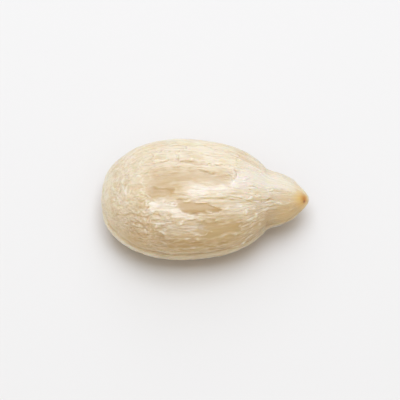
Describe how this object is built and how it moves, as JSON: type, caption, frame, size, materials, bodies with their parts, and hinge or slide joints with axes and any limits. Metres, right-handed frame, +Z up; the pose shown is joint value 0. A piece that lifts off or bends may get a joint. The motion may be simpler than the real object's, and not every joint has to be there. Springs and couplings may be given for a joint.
{
  "type": "sunflower seed kernel",
  "caption": "Dehulled sunflower seed kernel: a plump, slightly flattened teardrop with a short narrow tip, a lip round its rim and fine lengthwise folds in its papery skin.",
  "frame": {"origin": "on the surface that the kernel rests on, under the middle of its box", "axes": "+X along the kernel from the blunt end to the tip, +Y across its width, +Z up from the flat spot on its belly to its crown"},
  "size_m": [0.01, 0.006, 0.0033],
  "materials": {
    "kernel_skin": "satin, pale cream to beige, with silvery patches where the papery skin has lifted and an orange-brown tip"
  },
  "bodies": {
    "root": {"kernel": "kernel_skin"}
  },
  "joints": []
}
